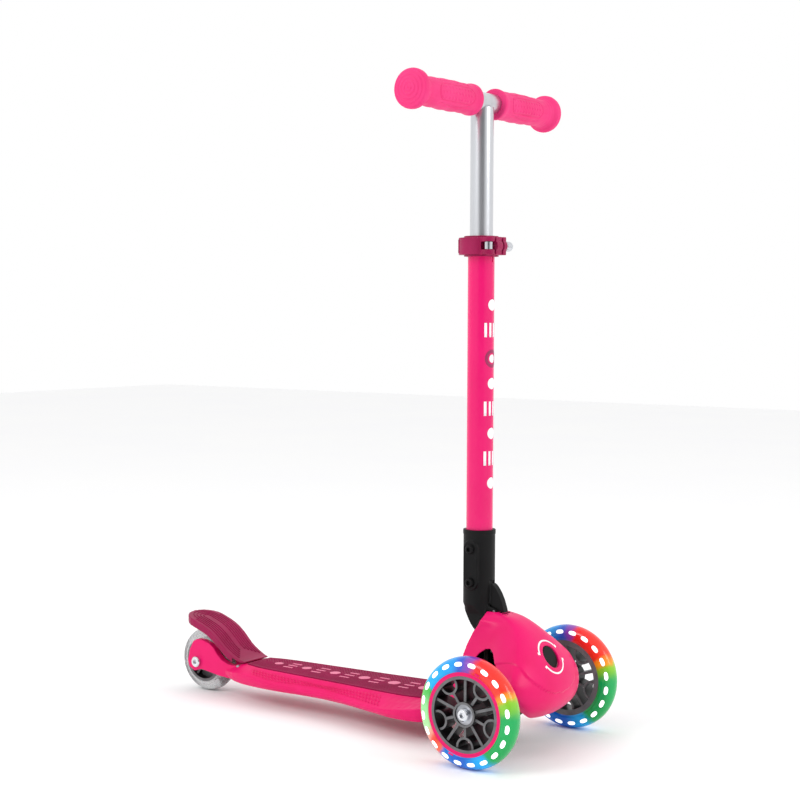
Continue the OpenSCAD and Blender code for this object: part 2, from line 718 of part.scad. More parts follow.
module clamp_collar() {
    color(raspberry) translate([column_x, 0, clamp_low]) difference() {
        union() {
            cylinder(r = clamp_r, h = clamp_h);
            translate([10, -13.2, 1.5]) cube([bolt_ahead - 4.5, 21.2, clamp_h - 3]);
            translate([bolt_ahead, 8, clamp_h / 2]) rotate([90, 0, 0]) cylinder(r = 7.5, h = 21.2);
        }
        translate([0, 0, -1]) cylinder(r = lower_r + 0.03, h = clamp_h - 0.7);
        translate([0, 0, -1]) cylinder(r = upper_r + 0.4, h = clamp_h + 2);
        translate([5, -1.4, -1]) cube([40, 2.8, clamp_h + 2]);
        translate([bolt_ahead, 30, clamp_h / 2]) rotate([90, 0, 0]) cylinder(r = 3.05, h = 60);
    }
}

// The bolt crosses the collar's lugs, and its eye takes the lever's pin
module clamp_bolt() {
    color(silver) difference() {
        union() {
            y_bar(column_x + bolt_ahead, clamp_mid, 3, lever_y, 24);
            translate([column_x + bolt_ahead, lever_y, clamp_mid - 4]) cylinder(r = 4.6, h = 8);
        }
        translate([column_x + bolt_ahead, lever_y, 0]) cylinder(r = 2.55, h = 700);
    }
}

module clamp_nut() {
    color(silver) translate([column_x + bolt_ahead, 22.4, clamp_mid]) rotate([90, 0, 0]) difference() {
        union() {
            cylinder(r = 5.2, h = 14.3);
            for (i = [0:17]) rotate([0, 0, i * 20]) translate([5.2, 0, 0])
                cylinder(r = 0.45, h = 9, $fn = 16);
        }
        translate([0, 0, -1]) cylinder(r = 3.02, h = 20);
    }
}

lever_h = 19;
module clamp_lever() {
    arm_in = clamp_r + 1.0;
    arm_out = clamp_r + 6;
    color(raspberry) translate([column_x, 0, clamp_mid - lever_h / 2]) difference() {
        union() {
            intersection() {
                difference() {
                    cylinder(r = arm_out, h = lever_h);
                    translate([0, 0, -1]) cylinder(r = arm_in, h = lever_h + 2);
                }
                linear_extrude(height = lever_h)
                    polygon([[0, 0], [-70, -8], [-70, -80], [40, -80], [30, -35]]);
            }
            translate([bolt_ahead, lever_y, 0]) cylinder(r = 6.6, h = lever_h);
            linear_extrude(height = lever_h)
                polygon([[bolt_ahead + 2, lever_y - 6.2], [bolt_ahead - 6, lever_y + 0.5],
                         [15, -14.6], [12, -17], [13, -22.5], [bolt_ahead - 6, lever_y - 5.5]]);
            translate([-arm_in - 2.6, -4.6, 0]) cylinder(r = 3.3, h = lever_h);
        }
        translate([bolt_ahead, lever_y, -1]) cylinder(r = 2.56, h = lever_h + 2);
        // Window round the bolt's eye
        translate([bolt_ahead - 8.5, lever_y - 10, lever_h / 2 - 4.4]) cube([16, 30, 8.8]);
        translate([0, 0, -1]) cylinder(r = arm_in, h = lever_h + 2);
    }
}

module lever_pin() {
    color(steel) translate([column_x + bolt_ahead, lever_y, clamp_mid - lever_h / 2])
        cylinder(r = 2.5, h = lever_h);
}

module tube_sleeve() {
    color(black) translate([column_x, 0, clamp_top - 46]) difference() {
        cylinder(r = lower_r - tube_wall - 0.03, h = 44.2);
        translate([0, 0, -1]) cylinder(r = upper_r + 0.05, h = 60);
    }
}

release_x = front_x - 33.5;
release_z = 150;
release_outline = [[-38.9, 180.5], [-36, 178.6], [-33, 175], [-29.4, 169.6], [-26, 162.4], [-23, 153.6],
                   [-21.6, 147], [-21.4, 142], [-24.5, 141], [-28.5, 145], [-31.5, 148.6], [-37.5, 150.5],
                   [-39.2, 156], [-39.6, 180.4]];
module fold_release() {
    color(black) difference() {
        translate([front_x, 0, 0]) y_plate(release_outline, -4.6, 4.6);
        y_bar(release_x, release_z, 1.56, -10, 10);
    }
}

module release_pin() {
    color(steel) y_bar(release_x, release_z, 1.5, -8, 8);
}

module release_spring() {
    color(steel) for (i = [0:9]) translate([front_x - 51.2 + 2.05 * i, 0, 145.7]) rotate([0, 90, 0])
        rotate_extrude() translate([2.2, 0]) circle(r = 0.4, $fn = 16);
}

// ---------------------------------------------------------------- handlebar

tube_low = clamp_top - bar_travel - 88;
module upper_tube() {
    top = bar_height - 6;
    color(silver) difference() {
        translate([column_x, 0, tube_low]) cylinder(r = upper_r, h = top - tube_low);
        translate([column_x, 0, 0]) cylinder(r = upper_r - 1.4, h = top - 6);
        y_bar(column_x, bar_height, bar_r + 0.02, -40, 40);
    }
}

module crossbar() {
    reach = bar_w / 2 - 7;
    color(silver) difference() {
        y_bar(column_x, bar_height, bar_r, -reach, reach);
        y_bar(column_x, bar_height, bar_r - 1.5, -reach - 1, reach + 1);
    }
}

module bar_end_plugs() {
    reach = bar_w / 2 - 7;
    color(black) both_sides() y_bar(column_x, bar_height, bar_r - 1.55, reach - 14, reach - 0.5);
}

module tube_foot_plug() {
    color(black) translate([column_x, 0, tube_low - 3]) {
        cylinder(r = upper_r - 0.1, h = 3);
        cylinder(r = upper_r - 1.45, h = 16);
    }
}

module grip(side) {
    start = bar_gap / 2;
    end = bar_w / 2;
    end_r = grip_end_d / 2;
    profile = [[bar_r + 0.03, start], [16.4, start], [17.6, start + 1.2], [17.6, start + 4.6],
               [16.6, start + 7], [16.2, start + 20], [16.8, start + 50], [16.2, start + 80],
               [15.4, end - 21], [16.2, end - 17], [18.6, end - 14.6], [end_r - 0.6, end - 13.4],
               [end_r, end - 11.8], [end_r, end - 6.4], [end_r - 1.4, end - 4],
               [end_r * 0.82, end - 2.2], [end_r * 0.5, end - 0.6], [0, end], [0, end - 6.5],
               [bar_r + 0.03, end - 6.5]];
    color(pink) translate([column_x, 0, bar_height]) mirror([0, side > 0 ? 0 : 1, 0])
        rotate([-90, 0, 0]) rotate_extrude() polygon(profile);
}

// ---------------------------------------------------------------- drawing

deck_shell();
deck_mat();
front_cover();
front_frame();
kingpin();
steering_rubbers();
fold_pin();
lock_spring();
brake_pin();
brake_spring();
rear_axle();
rear_washers();
deck_screws();
elbow();
lower_tube();
elbow_bolts();
elbow_nuts();
clamp_collar();
clamp_bolt();
clamp_nut();
tube_sleeve();
release_pin();
release_spring();
upper_tube();
crossbar();
grip(1);  // grip_left
grip(-1);  // grip_right
bar_end_plugs();
tube_foot_plug();
clamp_lever();
lever_pin();
fold_release();
carriage();
kingpin_bushes();
color(silver) front_axle_bolts();
color(white) at_front_wheel(1) front_tyre();  // front_tyre_left
color(white) at_front_wheel(-1) front_tyre();  // front_tyre_right
color(dark_grey) at_front_wheel(1) front_hub();  // front_hub_left
color(dark_grey) at_front_wheel(-1) front_hub();  // front_hub_right
color(pink) at_front_wheel(1) translate([0, 0, ring_floor]) front_trim_ring();  // front_trim_ring_left
color(pink) at_front_wheel(-1) translate([0, 0, ring_floor]) front_trim_ring();  // front_trim_ring_right
color(white) at_front_wheel(1) front_light_ring();  // front_light_ring_left
color(white) at_front_wheel(-1) front_light_ring();  // front_light_ring_right
color(steel) at_front_wheel(1) bearing_pair();  // front_bearings_left
color(steel) at_front_wheel(-1) bearing_pair();  // front_bearings_right
color(silver) at_front_wheel(1) bearing_spacer();  // front_spacer_left
color(silver) at_front_wheel(-1) bearing_spacer();  // front_spacer_right
color(white) at_rear_wheel() rear_tyre();
color(dark_grey) at_rear_wheel() rear_hub();
color(steel) at_rear_wheel() bearing_pair();  // rear_bearings
color(silver) at_rear_wheel() bearing_spacer();  // rear_spacer
brake_fender();
lock_button();
lock_plunger();
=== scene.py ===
"""Looks of the folding three-wheel kick scooter, built round its CAD frame. Lengths in millimetres."""

import json
import math

import bpy
import numpy as np
from mathutils import Matrix, Vector
from mathutils.bvhtree import BVHTree

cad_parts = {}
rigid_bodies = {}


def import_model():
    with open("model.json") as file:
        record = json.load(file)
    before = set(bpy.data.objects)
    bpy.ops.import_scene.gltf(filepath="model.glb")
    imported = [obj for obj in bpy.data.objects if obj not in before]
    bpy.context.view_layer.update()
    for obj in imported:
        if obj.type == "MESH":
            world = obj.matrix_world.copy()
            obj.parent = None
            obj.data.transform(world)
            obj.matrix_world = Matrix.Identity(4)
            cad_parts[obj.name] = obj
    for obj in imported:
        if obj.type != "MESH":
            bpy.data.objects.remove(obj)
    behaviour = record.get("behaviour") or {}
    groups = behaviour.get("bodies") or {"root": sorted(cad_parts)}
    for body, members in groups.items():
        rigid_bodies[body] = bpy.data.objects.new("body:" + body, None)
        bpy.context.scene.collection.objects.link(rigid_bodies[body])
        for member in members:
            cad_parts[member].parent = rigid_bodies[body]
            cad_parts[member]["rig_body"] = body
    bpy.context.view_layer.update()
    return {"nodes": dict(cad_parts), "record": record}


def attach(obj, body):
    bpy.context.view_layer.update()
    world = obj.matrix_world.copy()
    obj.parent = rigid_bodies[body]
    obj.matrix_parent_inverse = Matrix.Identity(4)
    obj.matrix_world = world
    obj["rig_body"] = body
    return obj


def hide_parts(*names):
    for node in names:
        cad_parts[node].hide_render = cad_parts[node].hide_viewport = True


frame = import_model()

MM = 0.001
FRONT_X = 223.25
REAR_X = -243.75
COLUMN_X = 164.95
WHEEL_Y = 108.0
FRONT_R = 60.5
REAR_R = 40.0
BAR_Z = 720.0
GRIP_START = 23.0
HINGE_X = FRONT_X - 42.0
HINGE_Z = 132.0
BUTTON = Vector((FRONT_X + 35.0, 0.0, 106.0))
BUTTON_SLOPE = math.radians(27)
BUTTON_AIM = Vector((math.cos(BUTTON_SLOPE), 0.0, math.sin(BUTTON_SLOPE)))
VIEW_TURN = math.radians(35.343)
VIEW_RISE = math.radians(3.2505)
VIEW_ROLL = math.radians(0.2296)
VIEW_PLACE = (1.14795, -1.5427, 0.4904)
VIEW_LENS = 73.02
DIM_SIDE_TURN = math.radians(35.3)


# ------------------------------------------------------------------ materials


def rgb(r, g, b):
    """A linear colour from 0-255 display values."""
    part = [c / 255 for c in (r, g, b)]
    return tuple(c / 12.92 if c < 0.04045 else ((c + 0.055) / 1.055) ** 2.4 for c in part) + (1.0,)


def add_node(tree, kind, settings=None, **sockets):
    """A shader node with its settings and its sockets filled in, or linked when given an output."""
    made = tree.nodes.new(kind)
    for key, value in (settings or {}).items():
        setattr(made, key, value)
    for key, value in sockets.items():
        socket = made.inputs[int(key[1:])] if key[0] == "i" and key[1:].isdigit() else made.inputs[key]
        if isinstance(value, bpy.types.NodeSocket):
            tree.links.new(value, socket)
        else:
            socket.default_value = value
    return made


def ramp_of(tree, factor, stops, mode="LINEAR"):
    """A colour ramp with the given (position, colour) stops."""
    ramp = add_node(tree, "ShaderNodeValToRGB", Fac=factor)
    ramp.color_ramp.interpolation = mode
    elements = ramp.color_ramp.elements
    for place, colour in stops[2:]:
        elements.new(place)
    for element, (place, colour) in zip(elements, stops):
        element.position = place
        element.color = colour
    return ramp.outputs["Color"]


def start_material(name):
    """An empty material: its tree, its shader and the object's own coordinates."""
    material = bpy.data.materials.new(name)
    material.use_nodes = True
    tree = material.node_tree
    shader = next(n for n in tree.nodes if n.type == "BSDF_PRINCIPLED")
    place = add_node(tree, "ShaderNodeTexCoord")
    return material, tree, shader, place


def relief(tree, shader, place, grain, grain_scale, edge):
    """Fine surface grain over edges rounded by the shader."""
    bump = add_node(tree, "ShaderNodeBump", Strength=grain, Distance=0.0002)
    fine = add_node(tree, "ShaderNodeTexNoise", Vector=place.outputs["Object"], Scale=grain_scale, Detail=3.0)
    tree.links.new(fine.outputs["Fac"], bump.inputs["Height"])
    if edge:
        soft = add_node(tree, "ShaderNodeBevel", {"samples": 4}, Radius=edge * MM)
        tree.links.new(soft.outputs["Normal"], bump.inputs["Normal"])
    tree.links.new(bump.outputs["Normal"], shader.inputs["Normal"])


def surface(name, dark, light, rough, grain=0.1, grain_scale=900.0, mottle=25.0, edge=0.0, **shader_values):
    """A moulded, painted or metal surface: two close tones mottled together, uneven gloss, fine grain."""
    material, tree, shader, place = start_material(name)
    cloud = add_node(tree, "ShaderNodeTexNoise", Vector=place.outputs["Object"], Scale=mottle, Detail=5.0)
    tone = ramp_of(tree, cloud.outputs["Fac"], [(0.35, dark), (0.65, light)])
    tree.links.new(tone, shader.inputs["Base Color"])
    gloss = add_node(tree, "ShaderNodeMapRange", Value=cloud.outputs["Fac"], i3=rough[0], i4=rough[1])
    tree.links.new(gloss.outputs["Result"], shader.inputs["Roughness"])
    for key, value in shader_values.items():
        shader.inputs[key.replace("_", " ")].default_value = value
    relief(tree, shader, place, grain, grain_scale, edge)
    return material


def brushed(name, dark, light, rough, stretch, edge=0.3):
    """Bare metal with faint drawing lines along one axis."""
    material, tree, shader, place = start_material(name)
    long = add_node(tree, "ShaderNodeMapping", Vector=place.outputs["Object"], Scale=stretch)
    lines = add_node(tree, "ShaderNodeTexNoise", Vector=long.outputs["Vector"], Scale=60.0, Detail=4.0)
    tone = ramp_of(tree, lines.outputs["Fac"], [(0.3, dark), (0.7, light)])
    tree.links.new(tone, shader.inputs["Base Color"])
    gloss = add_node(tree, "ShaderNodeMapRange", Value=lines.outputs["Fac"], i3=rough[0], i4=rough[1])
    tree.links.new(gloss.outputs["Result"], shader.inputs["Roughness"])
    shader.inputs["Metallic"].default_value = 1.0
    relief(tree, shader, place, 0.05, 1500.0, edge)
    return material


def combine(tree, operation, first, second):
    """One arithmetic step between two shader values."""
    return add_node(tree, "ShaderNodeMath", {"operation": operation}, i0=first, i1=second).outputs[0]


def wheel_angle(tree, place, centre_x, centre_z, wobble):
    """0 to 1 round a wheel's axis: 0.5 points forward and 0.75 up."""
    part = add_node(tree, "ShaderNodeSeparateXYZ", Vector=place.outputs["Object"])
    across = combine(tree, "SUBTRACT", part.outputs["X"], centre_x * MM)
    above = combine(tree, "SUBTRACT", part.outputs["Z"], centre_z * MM)
    turn = combine(tree, "ARCTAN2", above, across)
    noise = add_node(tree, "ShaderNodeTexNoise", Vector=place.outputs["Object"], Scale=70.0, Detail=2.0)
    shift = add_node(tree, "ShaderNodeMapRange", Value=noise.outputs["Fac"], i3=-wobble, i4=wobble)
    total = combine(tree, "ADD", turn, shift.outputs["Result"])
    share = add_node(tree, "ShaderNodeMapRange", Value=total, i1=-math.pi, i2=math.pi)
    return share.outputs["Result"]


# Glow colours round a front wheel, by share of a turn
LIGHT_COLOURS = [
    (0.000, rgb(150, 222, 150)),
    (0.060, rgb(172, 226, 160)),
    (0.085, rgb(242, 160, 140)),
    (0.115, rgb(236, 66, 46)),
    (0.145, rgb(240, 100, 70)),
    (0.168, rgb(0, 112, 205)),
    (0.236, rgb(0, 92, 196)),
    (0.320, rgb(0, 168, 238)),
    (0.361, rgb(0, 160, 76)),
    (0.500, rgb(0, 166, 84)),
    (0.550, rgb(130, 195, 45)),
    (0.572, rgb(246, 146, 34)),
    (0.594, rgb(236, 52, 34)),
    (0.708, rgb(230, 36, 36)),
    (0.736, rgb(132, 62, 172)),
    (0.764, rgb(42, 84, 194)),
    (0.806, rgb(0, 152, 228)),
    (0.903, rgb(0, 172, 242)),
    (0.931, rgb(62, 184, 66)),
    (1.000, rgb(150, 222, 150)),
]


def lit_tyre(name):
    """Clear tyre glowing with the coloured lights inside it."""
    material, tree, shader, place = start_material(name)
    share = wheel_angle(tree, place, FRONT_X, FRONT_R, 0.12)
    tone = ramp_of(tree, share, LIGHT_COLOURS, "EASE")
    tree.links.new(tone, shader.inputs["Base Color"])
    tree.links.new(tone, shader.inputs["Emission Color"])
    shader.inputs["Emission Strength"].default_value = 0.12
    shader.inputs["Specular IOR Level"].default_value = 0.3
    shader.inputs["Roughness"].default_value = 0.22
    shader.inputs["Coat Weight"].default_value = 0.4
    shader.inputs["Coat Roughness"].default_value = 0.1
    relief(tree, shader, place, 0.05, 500.0, 0.4)
    return material


def light_window(name):
    """White light windows, brightest in the middle of each cloud of glow."""
    material, tree, shader, place = start_material(name)
    glow = add_node(tree, "ShaderNodeTexNoise", Vector=place.outputs["Object"], Scale=90.0, Detail=1.0)
    tone = ramp_of(tree, glow.outputs["Fac"], [(0.3, rgb(238, 244, 250)), (0.7, rgb(255, 255, 255))])
    tree.links.new(tone, shader.inputs["Base Color"])
    tree.links.new(tone, shader.inputs["Emission Color"])
    shader.inputs["Emission Strength"].default_value = 0.9
    shader.inputs["Roughness"].default_value = 0.25
    return material


def hub_plastic_lit_faces(name, side_dark, side_light, lit_face_dark, lit_face_light):
    """Dark moulding with a painted highlight: faces that point along the wheel's axis are painted a lighter
    grey.
    """
    material, tree, shader, place = start_material(name)
    facing = add_node(tree, "ShaderNodeSeparateXYZ", Vector=place.outputs["Normal"])
    size = add_node(tree, "ShaderNodeMath", {"operation": "ABSOLUTE"}, i0=facing.outputs["Y"])
    cloud = add_node(tree, "ShaderNodeTexNoise", Vector=place.outputs["Object"], Scale=120.0, Detail=4.0)
    side = ramp_of(tree, cloud.outputs["Fac"], [(0.35, side_dark), (0.65, side_light)])
    # painted highlight: lighter grey tones for the outward faces, blended in by how squarely each face points
    # along the axis
    face = ramp_of(tree, cloud.outputs["Fac"], [(0.35, lit_face_dark), (0.65, lit_face_light)])
    share = add_node(tree, "ShaderNodeMapRange", Value=size.outputs[0], i1=0.75, i2=0.95)
    mix = add_node(tree, "ShaderNodeMix", {"data_type": "RGBA"}, i0=share.outputs["Result"], i6=side, i7=face)
    tree.links.new(mix.outputs[2], shader.inputs["Base Color"])
    shader.inputs["Roughness"].default_value = 0.38
    shader.inputs["Specular IOR Level"].default_value = 0.3
    relief(tree, shader, place, 0.15, 900.0, 0.5)
    return material


FINISHES = {
    "pink_plastic": surface("pink_plastic", rgb(228, 8, 100), rgb(234, 14, 108), (0.3, 0.38), grain=0.05,
                            Specular_IOR_Level=0.22),
    "pink_paint": surface("pink_paint", rgb(226, 10, 104), rgb(232, 16, 110), (0.22, 0.3), grain=0.03,
                          mottle=12.0, Specular_IOR_Level=0.3, Coat_Weight=0.12, Coat_Roughness=0.1),
    "pink_grip": surface("pink_grip", rgb(232, 46, 118), rgb(238, 58, 128), (0.5, 0.62), grain=0.3,
                         grain_scale=1400.0, Specular_IOR_Level=0.25),
    "raspberry_mat": surface("raspberry_mat", rgb(138, 16, 66), rgb(152, 24, 76), (0.5, 0.66), grain=0.35,
                             grain_scale=1300.0, Specular_IOR_Level=0.15),
    "raspberry_plastic": surface("raspberry_plastic", rgb(146, 16, 70), rgb(158, 24, 80), (0.34, 0.45),
                                 grain=0.1, edge=0.4, Specular_IOR_Level=0.2),
    "black_plastic": surface("black_plastic", rgb(10, 10, 11), rgb(18, 18, 19), (0.42, 0.55), grain=0.25,
                             edge=0.4, Specular_IOR_Level=0.15),
    # the last two tones of the hub are the painted highlight on its outward faces
    "dark_grey_plastic": hub_plastic_lit_faces("dark_grey_plastic", rgb(24, 24, 26), rgb(34, 34, 36),
                                     rgb(96, 96, 98), rgb(112, 112, 114)),
    "clear_tyre": lit_tyre("clear_tyre"),
    "rear_tyre": surface("rear_tyre", rgb(196, 198, 200), rgb(216, 216, 216), (0.16, 0.26), grain=0.02,
                         Transmission_Weight=0.72, IOR=1.4),
    "light_core": light_window("light_core"),
    "bare_aluminium": brushed("bare_aluminium", rgb(196, 198, 202), rgb(216, 218, 222), (0.24, 0.34),
                              (1.0, 1.0, 0.04)),
    "chrome_fittings": brushed("chrome_fittings", rgb(205, 207, 212), rgb(226, 228, 232), (0.1, 0.2),
                               (1.0, 0.2, 1.0)),
    "zinc_steel": brushed("zinc_steel", rgb(150, 152, 158), rgb(182, 184, 190), (0.3, 0.42), (1.0, 0.1, 1.0)),
    "black_rubber": surface("black_rubber", rgb(20, 20, 21), rgb(30, 30, 31), (0.7, 0.85), grain=0.4),
    "white_nylon": surface("white_nylon", rgb(222, 222, 218), rgb(236, 236, 232), (0.4, 0.5), grain=0.1,
                           edge=0.3),
}
EXTRA = {
    "white_mark": surface("white_mark", rgb(246, 246, 248), rgb(254, 254, 255), (0.35, 0.45), grain=0.02),
    "raspberry_mark": surface("raspberry_mark", rgb(150, 20, 80), rgb(162, 26, 90), (0.35, 0.45), grain=0.02),
    "pale_pink_mark": surface("pale_pink_mark", rgb(226, 96, 140), rgb(236, 116, 156), (0.4, 0.5),
                              grain=0.05),
}
SLOT_OF = {row["node"]: row["material_slot"] for row in frame["record"]["subparts"]}


# ------------------------------------------------------------------ mesh tools


def curve(pairs, t):
    """A smooth curve through (position, value) pairs."""
    n = len(pairs)
    i = 0
    while i < n - 2 and t >= pairs[i + 1][0]:
        i += 1
    (t0, p), (t1, q) = pairs[i], pairs[i + 1]
    span = t1 - t0
    u = min(max((t - t0) / span, 0.0), 1.0)

    def slope(k):
        a, b = max(k - 1, 0), min(k + 1, n - 1)
        return (pairs[b][1] - pairs[a][1]) / (pairs[b][0] - pairs[a][0])

    m, k = slope(i) * span, slope(i + 1) * span
    return (
        (2 * u**3 - 3 * u * u + 1) * p
        + (u**3 - 2 * u * u + u) * m
        + (3 * u * u - 2 * u**3) * q
        + (u**3 - u * u) * k
    )


def ease(u):
    u = min(max(u, 0.0), 1.0)
    return u * u * (3 - 2 * u)


def mesh_object(name, points, faces, smooth=True):
    """A mesh object from points in millimetres."""
    mesh = bpy.data.meshes.new(name)
    mesh.from_pydata([tuple(c * MM for c in p) for p in points], [], faces)
    mesh.validate()
    mesh.polygons.foreach_set("use_smooth", [smooth] * len(mesh.polygons))
    made = bpy.data.objects.new(name, mesh)
    bpy.context.scene.collection.objects.link(made)
    return made


def apply_modifiers(obj):
    """Bakes the object's modifiers into its mesh."""
    graph = bpy.context.evaluated_depsgraph_get()
    baked = bpy.data.meshes.new_from_object(obj.evaluated_get(graph))
    baked.name = obj.name
    obj.modifiers.clear()
    obj.data = baked


def melt(obj, voxel, rounds):
    """Turns the mesh into one even skin and rounds its edges."""
    remesh = obj.modifiers.new("skin", "REMESH")
    remesh.mode = "VOXEL"
    remesh.voxel_size = voxel * MM
    remesh.use_smooth_shade = True
    rounding = obj.modifiers.new("round", "SMOOTH")
    rounding.iterations = rounds
    rounding.factor = 0.5
    apply_modifiers(obj)


def cut(obj, *tools):
    """Takes the tools' shapes out of obj and removes the tools."""
    for tool in tools:
        step = obj.modifiers.new("cut", "BOOLEAN")
        step.operation = "DIFFERENCE"
        step.solver = "EXACT"
        step.object = tool
    apply_modifiers(obj)
    for tool in tools:
        bpy.data.objects.remove(tool)


def dress(obj, finish, body, slot, *nodes):
    """Gives a piece its finish and its body and hides the CAD nodes it stands for; the slot argument is not
    used.
    """
    obj.data.materials.clear()
    obj.data.materials.append(finish)
    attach(obj, body)
    if nodes:
        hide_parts(*nodes)
    return obj


def softened(node, voxel, rounds):
    """A CAD node's shape with moulded, rounded edges, standing for the node."""
    source = frame["nodes"][node]
    made = bpy.data.objects.new(node + "_moulded", source.data.copy())
    bpy.context.scene.collection.objects.link(made)
    melt(made, voxel, rounds)
    slot = SLOT_OF[node]
    return dress(made, FINISHES[slot], source["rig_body"], slot, node)


def plate(name, outline, y0, y1):
    """A solid cut from an outline in the XZ plane."""
    n = len(outline)
    points = [(x, y0, z) for x, z in outline] + [(x, y1, z) for x, z in outline]
    faces = [(i, (i + 1) % n, n + (i + 1) % n, n + i) for i in range(n)]
    return mesh_object(name, points, faces + [tuple(range(n - 1, -1, -1)), tuple(range(n, 2 * n))], False)


def block(name, low, high):
    """A box between two corners."""
    outline = [(low[0], low[2]), (high[0], low[2]), (high[0], high[2]), (low[0], high[2])]
    return plate(name, outline, low[1], high[1])


def rod(name, matrix, radius, length):
    """A cylinder along the matrix's own Z."""
    n = 64
    ring = [2 * math.pi * i / n for i in range(n)]
    points = [matrix @ Vector((radius * math.cos(a), radius * math.sin(a), 0)) for a in ring]
    points += [matrix @ Vector((radius * math.cos(a), radius * math.sin(a), length)) for a in ring]
    faces = [(i, (i + 1) % n, n + (i + 1) % n, n + i) for i in range(n)]
    faces += [tuple(range(n - 1, -1, -1)), tuple(range(n, 2 * n))]
    return mesh_object(name, points, faces, False)


def lathe(name, matrix, profile, segments=160, bend=None):
    """A skin turned round the matrix's own Z from (radius, height) points.

    bend(radius, height, angle) may move a point's radius.
    """
    points, faces = [], []
    rows = len(profile)
    for i in range(segments):
        a = 2 * math.pi * i / segments
        for r, h in profile:
            real = bend(r, h, a) if bend else r
            points.append(matrix @ Vector((real * math.cos(a), real * math.sin(a), h)))
    for i in range(segments):
        j = (i + 1) % segments
        for k in range(rows - 1):
            faces.append((i * rows + k, j * rows + k, j * rows + k + 1, i * rows + k + 1))
    made = mesh_object(name, points, faces)
    weld = made.modifiers.new("weld", "WELD")
    weld.merge_threshold = 1e-6
    apply_modifiers(made)
    return made


def slab(tops, bottoms, points, faces):
    """Adds a closed thin slab: a grid of top points over a grid of bottom points."""
    base = len(points)
    n, m = len(tops), len(tops[0])
    for grid in (tops, bottoms):
        for row in grid:
            points.extend(row)
    top = lambda i, j: base + i * m + j
    low = lambda i, j: base + n * m + i * m + j
    for i in range(n - 1):
        for j in range(m - 1):
            faces.append((top(i, j), top(i + 1, j), top(i + 1, j + 1), top(i, j + 1)))
            faces.append((low(i, j), low(i, j + 1), low(i + 1, j + 1), low(i + 1, j)))
    rim = [(i, 0) for i in range(n)] + [(n - 1, j) for j in range(1, m)]
    rim += [(i, m - 1) for i in range(n - 2, -1, -1)] + [(0, j) for j in range(m - 2, 0, -1)]
    for (a, b), (c, d) in zip(rim, rim[1:] + rim[:1]):
        faces.append((top(a, b), low(a, b), low(c, d), top(c, d)))


def wrapped(name, patches, aim, target, height, deep=0.3):
    """Thin raised patches laid on the target's surface by rays that run against aim.

    Each patch is a grid of points. A patch that misses the target is left out.
    """
    tree = BVHTree.FromObject(target, bpy.context.evaluated_depsgraph_get())
    points, faces = [], []
    for patch in patches:
        tops, bottoms = [], []
        for row in patch:
            top_row, low_row = [], []
            for p in row:
                start = (Vector(p) + aim * 60) * MM
                hit, normal, _, _ = tree.ray_cast(start, -aim)
                if hit is None:
                    break
                normal = normal if normal.dot(aim) > 0 else -normal
                top_row.append(hit / MM + normal * height)
                low_row.append(hit / MM - normal * deep)
            if len(top_row) < len(row):
                break
            tops.append(top_row)
            bottoms.append(low_row)
        if len(tops) == len(patch):
            slab(tops, bottoms, points, faces)
    return mesh_object(name, points, faces)


def arc_patch(centre, across, up, inner, outer, start, end, steps=24, rows=3):
    """Grid of points over part of a flat ring, angles in degrees."""
    grid = []
    for i in range(rows):
        r = inner + (outer - inner) * i / (rows - 1)
        row = []
        for k in range(steps + 1):
            a = math.radians(start + (end - start) * k / steps)
            row.append(Vector(centre) + Vector(across) * (r * math.cos(a)) + Vector(up) * (r * math.sin(a)))
        grid.append(row)
    return grid


def bar_patch(start, end, width, across, steps=8, rows=3):
    """Grid of points over a straight bar from start to end."""
    start, end, across = Vector(start), Vector(end), Vector(across)
    return [
        [start.lerp(end, k / steps) + across * (width * (i / (rows - 1) - 0.5)) for k in range(steps + 1)]
        for i in range(rows)
    ]


# ------------------------------------------------------------------ front cover

COVER_FRONT = [(43, 36), (47, 41.5), (55, 48.5), (65, 51), (80, 48.6), (95, 42.4), (107.6, 35), (118, 27.4),
               (128, 18.2), (136, 9.5), (142, 0.5), (147, -11), (150, -25)]
COVER_HALF = [(43, 34), (47, 40), (54, 50), (62, 59), (72, 67), (83, 70), (92, 66), (101, 57.5), (110, 47),
              (120, 36), (128, 28), (135, 21.5), (142, 16.5), (147, 13.6), (150, 11.6)]
COVER_BACK = [(43, -88), (50, -82), (58, -73), (70, -66.5), (90, -61.5), (106, -58), (114, -56.5),
              (123, -53.5), (128.5, -51), (134, -47), (141, -43.5), (150, -40.5)]
COVER_BACK_HALF = [(43, 45), (50, 44.5), (70, 41), (90, 36), (106, 31), (114, 27.5), (123, 24), (134, 21.8),
                   (141, 21.2), (144, 18), (150, 12)]
ARCH = [(-46, 30), (-45.5, 84), (-42, 98), (-36, 107), (-28, 112.5), (-21, 114), (-13, 110.5), (-4, 102),
        (8, 90), (19, 72), (27, 54), (31, 30)]
PANEL_HALF = [(62, -6), (69, 0), (72, 20), (76, 31), (82, 40), (88, 47), (95, 52), (114, 52), (121, 47),
              (128, 41)]
COVER_LOW = 43
COVER_RISE = 107
COVER_WALL = 2.6
COVER_CORNER = 13
COVER_BOW = 0.0022
PANEL_LIFT = 1.9
SLOT_HALF = 18.8
SLOT_FRONT = FRONT_X - 39.4


def cover_half_path(z, steps=30):
    """Points from the middle of the front round to the rear edge, at one height."""
    w, front = curve(COVER_HALF, z), curve(COVER_FRONT, z)
    back, back_w = curve(COVER_BACK, z), curve(COVER_BACK_HALF, z)
    path = []
    for i in range(steps):
        s = math.sin(math.pi / 2 * i / steps)
        x = front - COVER_BOW * (w * s) ** 2 - COVER_CORNER * (1 - (1 - s**3.226) ** 0.31)
        path.append((x, w * s))
    corner = front - COVER_BOW * w * w - COVER_CORNER
    for i in range(steps + 1):
        t = i / steps
        path.append((corner + (back - corner) * t, w + (back_w - w) * ease(t)))
    return path


